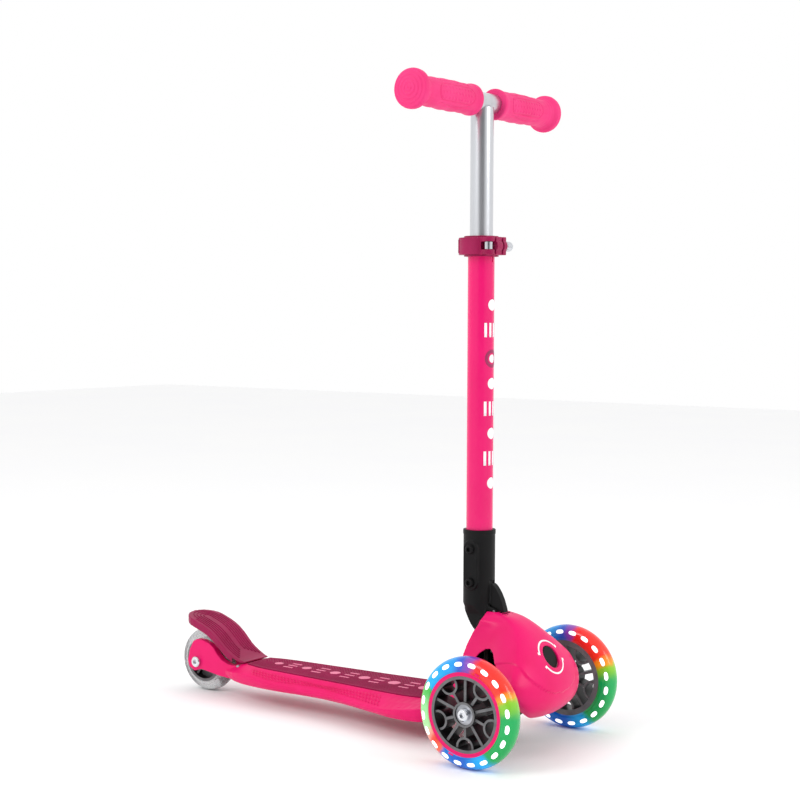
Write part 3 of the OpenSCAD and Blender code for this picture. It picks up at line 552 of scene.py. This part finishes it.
def build_front_cover():
    """The moulded front cover with its raised oval panel, wheel arches and slot for the column."""
    rings = []
    for i in range(111):
        z = COVER_LOW + COVER_RISE * i / 110
        half = cover_half_path(z)
        path = [(x, -y) for x, y in half[:0:-1]] + half
        n = len(path)
        normals = []
        for i in range(n):
            a, b = path[max(i - 1, 0)], path[min(i + 1, n - 1)]
            d = Vector((b[0] - a[0], b[1] - a[1])).normalized()
            normals.append((d.y, -d.x))
        limit = curve(PANEL_HALF, z) if z < 128 else 41 + (z - 128) * 3
        outside = []
        for (x, y), (nx, ny) in zip(path, normals):
            lift = PANEL_LIFT * ease((limit - abs(y)) / 1.8) * ease((x + 26) / 22)
            outside.append((x + nx * lift, y + ny * lift))
        inside = [(x - COVER_WALL * nx, y - COVER_WALL * ny) for (x, y), (nx, ny) in zip(path, normals)]
        rings.append([(FRONT_X + x, y, z) for x, y in outside + inside[::-1]])
    n = len(rings[0])
    points = [p for ring in rings for p in ring]
    faces = []
    for k in range(len(rings) - 1):
        for i in range(n):
            j = (i + 1) % n
            faces.append((k * n + i, k * n + j, (k + 1) * n + j, (k + 1) * n + i))
    top = (len(rings) - 1) * n
    for i in range(n // 2 - 1):
        o = n - 1 - i
        faces.append((i, o, o - 1, i + 1))
        faces.append((top + i, top + i + 1, top + o - 1, top + o))
    cover = mesh_object("front_cover_shell", points, faces)
    arch = [(FRONT_X + x, z) for x, z in ARCH]
    along_y = Matrix.Rotation(math.radians(90), 4, "X")
    knuckle = rod("knuckle_room", Matrix.Translation((HINGE_X, 17.6, HINGE_Z)) @ along_y, 10.0, 35.2)
    tongue = rod("tongue_room", Matrix.Translation((HINGE_X, 12.6, HINGE_Z)) @ along_y, 15.4, 25.2)
    bore_start = Matrix.Translation(BUTTON - 30 * BUTTON_AIM)
    bore = rod("button_room", bore_start @ Matrix.Rotation(math.radians(63), 4, "Y"), 13.3, 60)
    cut(
        cover,
        plate("arch_right", arch, -90, -19),
        plate("arch_left", arch, 19, 90),
        block("column_room", (FRONT_X - 140, -SLOT_HALF, 40), (SLOT_FRONT, SLOT_HALF, 167)),
        block("lever_room", (FRONT_X - 60, -8.9, 136), (FRONT_X - 16, 8.9, 166)),
        block("elbow_room", (FRONT_X - 60, -13.4, 138), (FRONT_X - 33, 13.4, 168)),
        knuckle,
        tongue,
        bore,
    )
    melt(cover, 0.75, 3)
    return dress(cover, FINISHES["pink_plastic"], "deck", "pink_plastic", "front_cover")


def build_button(cover):
    """The steering lock button and the broken white ring printed round it."""
    softened("lock_button", 0.35, 2)
    across = Vector((0, 1, 0))
    up = BUTTON_AIM.cross(across) * -1
    arcs = [(200, 330), (20, 150)]
    patches = [arc_patch(BUTTON, across, up, 18.6, 20.6, a, b) for a, b in arcs]
    patches += [arc_patch(BUTTON, across, up, 18.6, 22.2, a, a + 8, 4) for a in (196, 328, 15, 149)]
    ring = wrapped("button_marks", patches, BUTTON_AIM, cover, 0.12)
    dress(ring, EXTRA["white_mark"], "deck", "pink_plastic")


# ------------------------------------------------------------------ deck

DECK_HALF = [(-418, 26), (-400, 34), (-370, 40), (-330, 43.5), (-290, 42.5), (-250, 43), (-210, 49),
             (-170, 58), (-135, 65), (-105, 63), (-84, 53), (-66, 46), (-58, 45)]
MAT_HALF = [(-418, 16), (-386, 22), (-360, 28), (-300, 32), (-220, 36.5), (-150, 41), (-120, 39), (-103, 33),
            (-84, 28), (-58, 26)]
UP = Vector((0, 0, 1))
MAT_TAIL = -385
MAT_NOSE = -112
MAT_NOSE_LENGTH = 20


def mat_limit(x):
    """Half width of the mat at a place along the deck, 0 past its ends."""
    if x > MAT_NOSE:
        share = (x - MAT_NOSE) / MAT_NOSE_LENGTH
        return curve(MAT_HALF, MAT_NOSE) * math.sqrt(max(0.0, 1 - share * share)) - 0.6
    return curve(MAT_HALF, x) - 0.6


def build_deck():
    """Deck moulding with rows of short slanted ribs along its wings."""
    deck = softened("deck_shell", 0.8, 8)
    patches = []
    pitch, margin = 5.2, 6.5
    for side in (-1, 1):
        for row in range(3):
            for k in range(40):
                x = -366 + pitch * k + 1.7 * row
                m = curve(MAT_HALF, x)
                room = curve(DECK_HALF, x) - m - margin
                y = m + 3.4 + room * (row + 0.5) / 3
                dy = min(2.4, room / 6.8)
                start = (FRONT_X + x - 2.6, side * (y - dy), 60)
                end = (FRONT_X + x + 1.4, side * (y + dy), 60)
                patches.append(bar_patch(start, end, 1.5, (1, 0, 0), 3, 2))
    ribs = wrapped("deck_wing_ribs", patches, UP, deck, 0.7)
    dress(ribs, FINISHES["pink_plastic"], "deck", "pink_plastic")


def build_mat():
    """Foot mat with fine slanted tread, a plain border and generic outline marks."""
    low, top = 46.42, 48.0
    border, tread_rise, tread_pitch = 2.2, 0.75, 4.2
    xs = np.arange(MAT_TAIL, -92.2, 0.8)
    rows = 112
    points, faces = [], []
    for x in xs:
        limit = max(mat_limit(x), 0.4)
        for j in range(rows + 1):
            y = limit * (2 * j / rows - 1)
            margin = min(limit - abs(y), x - MAT_TAIL, -92.4 - x)
            wave = abs(((x + abs(y) * 0.9) / tread_pitch) % 1.0 - 0.5) * 2
            inner = ease(margin - border)
            tread = tread_rise * ease((wave - 0.25) / 0.4) * inner
            edge = 0.5 * (1 - ease(margin / 1.2))
            points.append((FRONT_X + x, y, top - edge - 0.5 * inner + tread))
    n, m = len(xs), rows + 1
    base = len(points)
    for x in xs:
        limit = max(mat_limit(x), 0.4)
        for j in range(m):
            points.append((FRONT_X + x, limit * (2 * j / rows - 1), low))
    for i in range(n - 1):
        for j in range(m - 1):
            a = i * m + j
            faces.append((a, a + m, a + m + 1, a + 1))
            faces.append((base + a, base + a + 1, base + a + m + 1, base + a + m))
    rim = [i * m for i in range(n)] + [(n - 1) * m + j for j in range(1, m)]
    rim += [i * m + m - 1 for i in range(n - 2, -1, -1)] + list(range(m - 2, 0, -1))
    for a, b in zip(rim, rim[1:] + rim[:1]):
        faces.append((a, base + a, base + b, b))
    mat = mesh_object("foot_mat_tread", points, faces)
    dress(mat, FINISHES["raspberry_mat"], "deck", "raspberry_mat", "deck_mat")
    build_mat_marks()


def build_mat_marks():
    """Pale generic marks along the mat: discs and groups of dashes."""
    points, faces = [], []

    def flat(patch):
        tops = [[Vector((p.x, p.y, 48.35)) for p in row] for row in patch]
        bottoms = [[Vector((p.x, p.y, 47.3)) for p in row] for row in patch]
        slab(tops, bottoms, points, faces)

    across, up = Vector((0, 1, 0)), Vector((1, 0, 0))
    for i, x in enumerate(range(-352, -100, 22)):
        x += FRONT_X
        reach = 9 + 0.4 * i
        if i % 2 == 0:
            flat(arc_patch((x, 0, 0), across, up, 0.1, reach * 0.62, 0, 360, 36, 2))
        else:
            for shift in (-reach, 0, reach):
                flat(bar_patch((x - 7, shift, 0), (x + 7, shift, 0), 3.2, (0, 1, 0), 4, 2))
    dress(mesh_object("mat_marks", points, faces, False), EXTRA["pale_pink_mark"], "deck", "raspberry_mat")


def build_brake():
    """Brake fender with nested raised arcs on its tail."""
    fender = softened("brake_fender", 0.7, 6)
    patches = []
    width = 1.4
    centre = (FRONT_X - 470, 0, 60)
    for k in range(5):
        r = 5 + 4.2 * k
        patches.append(arc_patch(centre, (0, 1, 0), (-1, 0, 0), r, r + width, 0, 180, 28, 2))
        for s in (-1, 1):
            start = (centre[0], s * (r + width / 2), 60)
            end = (FRONT_X - 412 + 3.0 * k, s * (r + width / 2) * 0.86, 60)
            patches.append(bar_patch(start, end, width, (0, 1, 0), 16, 2))
    arcs = wrapped("brake_tread", patches, UP, fender, 0.55)
    dress(arcs, FINISHES["raspberry_mat"], "brake", "raspberry_mat")


# ------------------------------------------------------------------ wheels


WHEEL_HALF = 12.5
FRONT_SEAT = 44.05
FRONT_CROWN = 11
WINDOW_R = 53.6
WINDOW_COUNT = 20
REAR_SEAT = 27.55
REAR_CROWN = 10


def wheel_frame(side):
    """Local Z along the wheel's axis, pointing outboard."""
    turn = Matrix.Rotation(math.radians(90), 4, "X")
    flip = Matrix.Scale(-1, 4, (0, 1, 0)) if side > 0 else Matrix.Identity(4)
    return flip @ Matrix.Translation((FRONT_X, -WHEEL_Y, FRONT_R)) @ turn


def tread_profile(r_out, crown, steps=24):
    """(radius, height) points round a tyre's crown, from the inboard edge to the outboard one."""
    half = WHEEL_HALF
    made = []
    for i in range(steps + 1):
        a = math.radians(-90 + 180 * i / steps)
        made.append((r_out - crown * (1 - math.cos(a)), half * math.sin(a) * (0.86 + 0.14 * math.cos(a))))
    return made


def crown_height(r):
    """Distance of the front tyre's crown from the wheel's middle plane at a radius."""
    a = math.acos(min(max(1 - (FRONT_R - r) / FRONT_CROWN, 0.0), 1.0))
    return WHEEL_HALF * math.sin(a) * (0.86 + 0.14 * math.cos(a))


def window_pad(matrix, radius, half_angle, half_width, points, faces):
    """Adds one domed capsule-shaped window lying flush in the tyre's crown."""
    base = len(points)
    n = 28
    layers = [(1.0, -2.5), (1.0, 0.0), (0.86, 0.22), (0.6, 0.3)]
    for share, z in layers:
        for i in range(n):
            a = 2 * math.pi * i / n
            along = math.copysign(abs(math.cos(a)) ** 0.7, math.cos(a)) * half_angle * share
            out = radius + math.copysign(abs(math.sin(a)) ** 0.9, math.sin(a)) * half_width * share
            height = crown_height(out) + z
            points.append(matrix @ Vector((out * math.cos(along), out * math.sin(along), height)))
    for k in range(len(layers) - 1):
        for i in range(n):
            j = (i + 1) % n
            faces.append((base + k * n + i, base + k * n + j, base + (k + 1) * n + j, base + (k + 1) * n + i))
    faces.append(tuple(base + (len(layers) - 1) * n + i for i in range(n)))
    faces.append(tuple(base + i for i in range(n - 1, -1, -1)))


def build_front_wheel(side, word):
    """Glowing tyre and its light windows on both faces of one front wheel."""
    body = "front_wheel_" + word
    matrix = wheel_frame(side)
    profile = [(FRONT_SEAT, -12.2), (FRONT_SEAT, 7.8), (45.45, 7.8), (45.45, 12.3)]
    profile += tread_profile(FRONT_R, FRONT_CROWN)[::-1] + [(FRONT_SEAT, -12.2)]
    tyre = lathe("front_tyre_glow_" + word, matrix, profile, 192)
    dress(tyre, FINISHES["clear_tyre"], body, "clear_tyre", "front_tyre_" + word)
    points, faces = [], []
    for i in range(WINDOW_COUNT):
        turn = matrix @ Matrix.Rotation(2 * math.pi * (i + 0.5) / WINDOW_COUNT, 4, "Z")
        for face in (turn, turn @ Matrix.Scale(-1, 4, (0, 0, 1))):
            window_pad(face, WINDOW_R, math.radians(5.2), 2.3, points, faces)
    windows = mesh_object("front_lights_" + word, points, faces)
    dress(windows, FINISHES["light_core"], body, "light_core", "front_light_ring_" + word)


def build_rear_wheel():
    """Clear rear tyre."""
    matrix = Matrix.Translation((REAR_X, 0, REAR_R)) @ Matrix.Rotation(math.radians(90), 4, "X")
    tread = tread_profile(REAR_R, REAR_CROWN)
    profile = [(REAR_SEAT, -12.2)] + tread + [(REAR_SEAT, 12.2), (REAR_SEAT, -12.2)]
    tyre = lathe("rear_tyre_clear", matrix, profile, 144)
    dress(tyre, FINISHES["rear_tyre"], "rear_wheel", "rear_tyre", "rear_tyre")


# ------------------------------------------------------------------ grips and column


def grip_profile():
    """(radius, distance from the grip's inner end) round one grip, end dome included."""
    outside = [(11.03, 0), (15.8, 0), (16.8, 0.4), (17.5, 1.2), (17.6, 3.4), (17.3, 6), (16.6, 8),
               (16.2, 11), (16.1, 20), (16.6, 35), (16.8, 50), (16.5, 65), (16.0, 80), (15.5, 92),
               (15.3, 99), (16.0, 103.5), (17.6, 106.4), (19.8, 108.4), (21.2, 110.2), (21.5, 112.4),
               (21.5, 114.6), (20.9, 117), (19.6, 118.6)]
    fine = []
    for (r0, s0), (r1, s1) in zip(outside, outside[1:]):
        steps = max(1, int(math.hypot(r1 - r0, s1 - s0) / 0.55))
        fine += [(r0 + (r1 - r0) * i / steps, s0 + (s1 - s0) * i / steps) for i in range(steps)]
    for i in range(60):
        r = 19.6 * (1 - i / 59)
        ripple = 0.35 * math.cos(2 * math.pi * (r - 2) / 4.4) * ease((19 - r) / 2)
        fine.append((r, 118.6 + 2.6 * (1 - (r / 19.6) ** 2) + ripple - 0.3))
    return fine


def grip_bend(r, s, angle):
    """Moves the grip's radius: finger waves, an outlined oval panel with dots, and two long creases."""
    if not 10 < s < 100:
        return r
    a = (angle + math.pi) % (2 * math.pi) - math.pi
    around = a * r
    fade = ease((s - 10) / 6) * ease((98 - s) / 6)
    wave = 0.55 * math.sin(2 * math.pi * (s - 14) / 21) * (0.5 - 0.5 * math.cos(a))
    along = s - 50
    over = max(abs(along) - 24, 0)
    edge = math.hypot(over, around) - 9.5
    groove = -0.85 * math.exp(-((edge / 0.7) ** 2))
    lift = 0.25 * ease(-edge / 0.8)
    dots = 0.0
    if edge < -2.4:
        near = math.hypot((along + 24) % 6 - 3, (around + 27) % 6 - 3)
        dots = 0.5 * ease((1.7 - near) / 0.5)
    line = abs(abs(around) - 14.5 - 1.6 * math.cos(along / 11))
    crease = -0.8 * math.exp(-((line / 0.8) ** 2)) * ease((34 - abs(along)) / 8)
    return r + fade * (wave + groove + lift + dots + crease)


def build_grips():
    """Soft grips with finger waves, oval panels and ringed ends."""
    profile = grip_profile()
    for side, word in ((1, "left"), (-1, "right")):
        # local Z runs outwards along the bar and local X points forward
        turn = Matrix.Rotation(math.radians(-90), 4, "X")
        flip = Matrix.Scale(-1, 4, (0, 1, 0)) if side < 0 else Matrix.Identity(4)
        start = Matrix.Translation((0, 0, GRIP_START))
        matrix = Matrix.Translation((COLUMN_X, 0, BAR_Z)) @ flip @ turn @ start
        grip = lathe("grip_soft_" + word, matrix, profile, 200, grip_bend)
        dress(grip, FINISHES["pink_grip"], "handlebar", "pink_grip", "grip_" + word)


TUBE_R = 15
MARK_OUTSIDE = 15.14
MARK_INSIDE = 14.8


def round_column(r, angle, z):
    """A point at a radius, an angle and a height round the column's middle line."""
    return Vector((COLUMN_X + r * math.cos(angle), r * math.sin(angle), z))


def tube_patch(points, faces, z, spans):
    """Adds thin patches on the lower tube: (angle from, angle to, low, high) in degrees and millimetres."""
    steps = 8
    for a0, a1, z0, z1 in spans:
        angles = [math.radians(a0 + (a1 - a0) * k / steps) for k in range(steps + 1)]
        tops, bottoms = (
            [[round_column(r, a, z + height) for a in angles] for height in (z0, z1)]
            for r in (MARK_OUTSIDE, MARK_INSIDE)
        )
        slab(tops, bottoms, points, faces)


def tube_ring(points, faces, z, inner, outer):
    """Adds a ring wrapped on the front of the lower tube at a height."""
    turns = [2 * math.pi * k / 40 for k in range(41)]
    tops, bottoms = (
        [
            [round_column(r, size * math.cos(t) / TUBE_R, z + size * math.sin(t)) for t in turns]
            for size in np.linspace(inner, outer, 6)
        ]
        for r in (MARK_OUTSIDE, MARK_INSIDE)
    )
    slab(tops, bottoms, points, faces)


def build_tube_marks():
    """White discs and dashes down the front of the lower tube, and one raspberry ring."""
    points, faces = [], []
    for z in (494, 406, 350, 294):
        tube_ring(points, faces, z, 0.1, 6.4)
    for z in (466, 378, 322):
        tube_patch(points, faces, z, [(a - 6, a + 6, -8, 8) for a in (-36, -12, 12, 36)])
    tube_ring(points, faces, 434, 0.1, 4.6)
    dress(mesh_object("tube_marks_white", points, faces), EXTRA["white_mark"], "column", "pink_paint")
    points, faces = [], []
    tube_ring(points, faces, 434, 6.4, 10.2)
    dress(mesh_object("tube_mark_ring", points, faces), EXTRA["raspberry_mark"], "column", "pink_paint")


def build_clamp():
    """Height clamp: rounded collar and quick-release lever with grip ribs at its tail."""
    softened("clamp_collar", 0.45, 3)
    softened("clamp_lever", 0.4, 3)
    points, faces = [], []
    for k in range(6):
        a = math.radians(196 + 6.5 * k)
        out = Vector((math.cos(a), math.sin(a), 0))
        tops = []
        for turn, lift in ((-0.028, -0.3), (0, 0.35), (0.028, -0.3)):
            tops.append([round_column(25.6, a + turn, z) + out * lift for z in (552, 567)])
        bottoms = [[p - out * 1.2 for p in row] for row in tops]
        slab(tops, bottoms, points, faces)
    ribs = mesh_object("lever_grip_ribs", points, faces)
    dress(ribs, FINISHES["raspberry_plastic"], "height_lever", "raspberry_plastic")


# ------------------------------------------------------------------ assembly

for node, obj in frame["nodes"].items():
    for place in obj.material_slots:
        place.material = FINISHES[SLOT_OF[node]]

cover = build_front_cover()
build_button(cover)
build_deck()
build_mat()
build_brake()
for side, word in ((-1, "right"), (1, "left")):
    build_front_wheel(side, word)
build_rear_wheel()
build_grips()
build_tube_marks()
build_clamp()
softened("elbow", 0.7, 4)
softened("fold_release", 0.4, 3)
softened("carriage", 0.8, 3)
softened("front_frame", 0.8, 3)


# ------------------------------------------------------------------ floor, light and camera


def build_stage():
    """A pale floor, an even white surround with one dim side, and two softboxes."""
    floor = mesh_object("floor", [(-6000, -6000, 0), (6000, -6000, 0), (6000, 6000, 0), (-6000, 6000, 0)],
                        [(0, 1, 2, 3)], False)
    floor.data.materials.append(surface("floor_paper", rgb(254, 254, 255), rgb(255, 255, 255), (0.8, 0.9),
                                        grain=0.0, mottle=2.0))
    world = bpy.data.worlds.new("surround")
    bpy.context.scene.world = world
    world.use_nodes = True
    tree = world.node_tree
    back = next(n for n in tree.nodes if n.type == "BACKGROUND")
    place = add_node(tree, "ShaderNodeTexCoord")
    toward = (math.sin(DIM_SIDE_TURN), -math.cos(DIM_SIDE_TURN), 0.0)
    dot = add_node(tree, "ShaderNodeVectorMath", {"operation": "DOT_PRODUCT"}, i0=place.outputs["Generated"],
                   i1=toward)
    tone = ramp_of(tree, dot.outputs["Value"], [(0.0, (1, 1, 1, 1)), (0.84, (0.8, 0.8, 0.8, 1)),
                                                (0.93, (0.16, 0.16, 0.17, 1))])
    tree.links.new(tone, back.inputs["Color"])
    back.inputs["Strength"].default_value = 1.0
    for name, spot, size, power in (
        ("key_softbox", (-0.6, -2.2, 1.9), 1.4, 24.0),
        ("side_softbox", (2.4, 0.4, 1.5), 1.2, 16.0),
    ):
        data = bpy.data.lights.new(name, "AREA")
        data.shape = "DISK"
        data.size = size
        data.energy = power
        light = bpy.data.objects.new(name, data)
        bpy.context.scene.collection.objects.link(light)
        light.location = spot
        light.rotation_euler = (Vector((0, 0, 0.3)) - Vector(spot)).to_track_quat("-Z", "Y").to_euler()


def build_camera():
    """The camera, low in front of the object and to its right."""
    a, e, r = VIEW_TURN, VIEW_RISE, VIEW_ROLL
    right = Vector((math.cos(a), math.sin(a), 0))
    back = Vector((math.sin(a) * math.cos(e), -math.cos(a) * math.cos(e), math.sin(e)))
    up = back.cross(right)
    side = right * math.cos(r) + up * math.sin(r)
    top = up * math.cos(r) - right * math.sin(r)
    data = bpy.data.cameras.new("view")
    data.lens = VIEW_LENS
    data.sensor_width = 36.0
    camera = bpy.data.objects.new("view", data)
    bpy.context.scene.collection.objects.link(camera)
    turn = Matrix((side, top, back)).transposed().to_4x4()
    camera.matrix_world = Matrix.Translation(VIEW_PLACE) @ turn
    bpy.context.scene.camera = camera


build_stage()
build_camera()
bpy.context.scene.view_settings.view_transform = "Standard"
